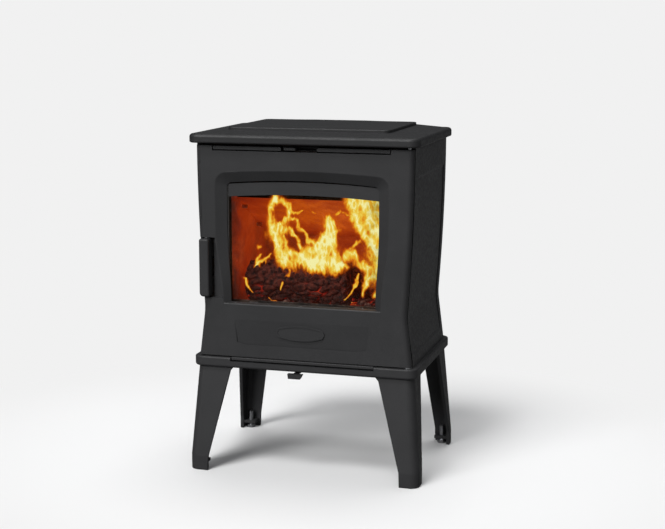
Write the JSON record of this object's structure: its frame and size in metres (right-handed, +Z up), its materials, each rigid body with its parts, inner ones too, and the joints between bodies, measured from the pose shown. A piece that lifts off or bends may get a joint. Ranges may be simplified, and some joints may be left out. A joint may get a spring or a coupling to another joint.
{
  "type": "wood burning stove",
  "caption": "Free-standing cast-iron wood stove on splayed legs, with a glazed side-hung door, air slides, a lift-off top cover and a rear flue socket.",
  "frame": {"origin": "on the floor under the middle of the base plate, the centre of the footprint", "axes": "+Z up, the door faces -Y, +X towards the door's hinge side"},
  "size_m": [0.4812, 0.345, 0.7019],
  "materials": {
    "cast_iron": "matt stove paint over sand-cast iron",
    "top_iron": "matt stove paint over sand-cast iron",
    "leg_iron": "matt stove paint over sand-cast iron",
    "inner_iron": "bare heat-darkened iron",
    "control_iron": "worn matt paint",
    "glass": "clear ceramic glass",
    "firebrick": "vermiculite board, scorched",
    "rope": "woven glass rope",
    "bright_steel": "zinc plated",
    "black_steel": "black oxide",
    "sheet_steel": "dull folded sheet"
  },
  "bodies": {
    "root": {"base_plate": "cast_iron", "ash_lip": "cast_iron", "left_side": "cast_iron", "right_side": "cast_iron", "rear_panel": "cast_iron", "front_frame": "inner_iron", "airwash_deflector": "inner_iron", "top_plate": "top_iron", "front_left_leg": "leg_iron", "front_right_leg": "leg_iron", "rear_left_leg": "leg_iron", "rear_right_leg": "leg_iron", "leg_bolts": "black_steel", "levelling_screws": "bright_steel", "tie_rods": "bright_steel", "rear_bolts": "black_steel", "lower_hinge_pin": "bright_steel", "upper_hinge_pin": "bright_steel", "hinge_washer": "bright_steel", "latch_keeper": "black_steel", "airwash_rail": "control_iron", "top_slide_guides": "sheet_steel", "bottom_slide_guides": "sheet_steel", "left_liner": "firebrick", "right_liner": "firebrick", "baffle_pegs": "bright_steel", "rear_liner": "firebrick", "baffle": "firebrick", "hearth_plate": "inner_iron", "grate": "inner_iron", "log_guard": "inner_iron", "ash_pan": "sheet_steel", "pan_runners": "sheet_steel", "flue_collar": "cast_iron", "flue_seal": "rope", "collar_bolts": "black_steel", "blank_disc": "cast_iron", "blank_bar": "black_steel", "blank_bolt": "bright_steel"},
    "door": {"door": "cast_iron", "door_medallion": "cast_iron", "door_seal": "rope", "door_glass": "glass", "glass_seal": "rope", "glass_top_strip": "cast_iron", "glass_clips": "sheet_steel", "glass_screws": "bright_steel", "handle_pin": "bright_steel"},
    "handle": {"handle": "cast_iron", "latch_tongue": "black_steel"},
    "top_air_slide": {"top_air_slide": "control_iron"},
    "bottom_air_slide": {"bottom_air_slide": "control_iron"},
    "top_cover": {"top_cover": "top_iron"}
  },
  "joints": [
    {"name": "door_hinge", "type": "hinge", "parent": "root", "child": "door", "pos_m": [0.2125, -0.1485, 0.45], "axis": [0, 0, 1], "range_deg": [0, 100]},
    {"name": "handle_turn", "type": "hinge", "parent": "door", "child": "handle", "pos_m": [-0.204, -0.1525, 0.42], "axis": [0, 0, -1], "range_deg": [0, 30]},
    {"name": "top_air_slide_x", "type": "slide", "parent": "root", "child": "top_air_slide", "axis": [1, 0, 0], "range_m": [0, 0.042]},
    {"name": "bottom_air_slide_x", "type": "slide", "parent": "root", "child": "bottom_air_slide", "axis": [1, 0, 0], "range_m": [0, 0.04]},
    {"name": "top_cover_lift", "type": "slide", "parent": "root", "child": "top_cover", "axis": [0, 0, 1], "range_m": [0, 0.12]}
  ]
}
